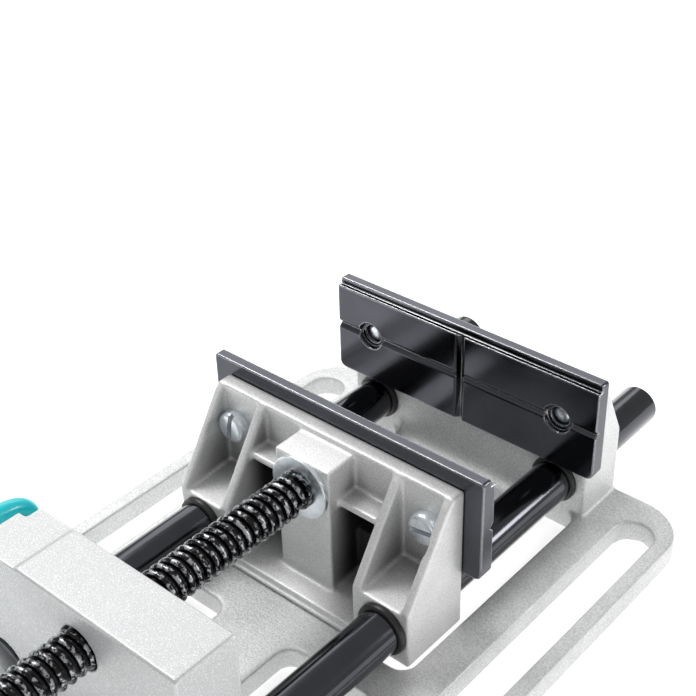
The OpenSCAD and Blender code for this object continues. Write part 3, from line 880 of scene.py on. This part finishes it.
lever = cast(lever, 0.42, 4, 0.55)
shaft_hole = 4.02
cut_with(lever, turned("shaft_hole", [(boss_face - 2, shaft_hole), (boss_face + 7, shaft_hole)],
                       (0, shaft_y, shaft_z), "+X"))
hand_in(lever, "lever", lever_teal, "release_lever", smooth=50)

# %% [markdown]
# ## Small inner pieces
#
# The eccentric shaft, the half nut, the pins, clips and hidden screws keep the shapes they were
# made with, and only get the small chamfer that every machined edge has. They hardly show, so
# drawing them again would add nothing.

# %% Chamfered copies of the small pieces
small = [("cam_shaft", "lever", zinc, 0.25), ("lever_screw", "lever", zinc, 0.2),
         ("half_nut", "nut", nut_bronze, 0.3), ("hub_pin", "screw", zinc, 0.2),
         ("block_screws", "base", zinc, 0.2), ("rod_pins", "base", zinc, 0.25),
         ("rod_grub_screws", "base", jaw_steel, 0.15), ("thrust_washer", "screw", zinc, 0.2),
         ("spindle_clip", "screw", jaw_steel, 0.12)]
for node, body, finish, chamfer in small:
    hand_in(machined(node, node + "_chamfered", chamfer), body, finish, node,
            smooth=40)

# %% [markdown]
# ## Floor, light and camera
#
# A part this pale is shown on a light table: a broad matt sheet that glows a little, so no hard
# shadow falls on it and it lifts the sides of the part. The sky is an even grey, and three soft
# boxes do the modelling. A bright one overhead on the left draws the thin white line along every
# rounded edge; on the castings, the steel and the plated parts that line is also a painted
# highlight. A large dim one at the back left is what the upper faces mirror, and a small low one
# at the back right is the band of light along the rods.

# %% Floor
only(None)
bpy.ops.mesh.primitive_plane_add(size=6, location=(0, 0, -0.0002))
floor = named("floor")
recipe = Recipe("floor_paper")
fibres = recipe.noise(1.5, detail=3)
floor.data.materials.append(recipe.surface(
    Base_Color=recipe.mix(fibres, (0.90, 0.90, 0.90), (0.92, 0.92, 0.92)), Roughness=0.85,
    Emission_Color=(1, 1, 1), Emission_Strength=0.60, Normal=recipe.bump(fibres, 0.02)))
print("floor:", floor.name, "6 m square, 0.2 mm under the part")

# %% Sky and soft boxes
sky = bpy.data.worlds.new("sky")
bpy.context.scene.world = sky
sky.use_nodes = True
background = sky.node_tree.nodes["Background"]
background.inputs["Color"].default_value = (1, 1, 1, 1)
background.inputs["Strength"].default_value = 0.48


def soft_box(name, place, size, power, aim=(0, 0, 0.03)):
    """A rectangular lamp at a place in metres, aimed at a point."""
    only(None)
    bpy.ops.object.light_add(type="AREA", location=place)
    lamp = bpy.context.object
    lamp.name = name
    lamp.data.shape = "RECTANGLE"
    lamp.data.size, lamp.data.size_y = size
    lamp.data.energy = power
    way = Vector(place) - Vector(aim)
    lamp.rotation_euler = way.to_track_quat("Z", "Y").to_euler()
    return lamp


soft_box("overhead_left", (-0.62, 0.06, 0.98), (0.46, 0.46), 5.6)
soft_box("back_left", (-0.80, 0.88, 0.78), (1.2, 0.8), 5.0)
soft_box("back_right", (0.90, 0.78, 0.42), (0.36, 0.26), 3.2)
print("three soft boxes over an even sky")

# %% Camera
# The view looks down on the vise from the front right, at 42 degrees round and 34 degrees up.
yaw, pitch_down, roll = (math.radians(a) for a in (42.024, 33.694, -1.804))
only(None)
bpy.ops.object.camera_add()
camera = bpy.context.object
camera.name = "view"
camera.matrix_world = (Matrix.Translation((0.20453, -0.20818, 0.28284))
                       @ Matrix.Rotation(yaw, 4, "Z")
                       @ Matrix.Rotation(math.pi / 2 - pitch_down, 4, "X")
                       @ Matrix.Rotation(roll, 4, "Z"))
camera.data.sensor_width = 36
camera.data.lens = 69.35
camera.data.shift_x = 0.0064
camera.data.shift_y = 0.0085
camera.data.clip_start = 0.01
bpy.context.scene.camera = camera
bpy.context.scene.view_settings.view_transform = "Standard"
print("camera at", [round(v, 3) for v in camera.location], "lens", round(camera.data.lens), "mm")
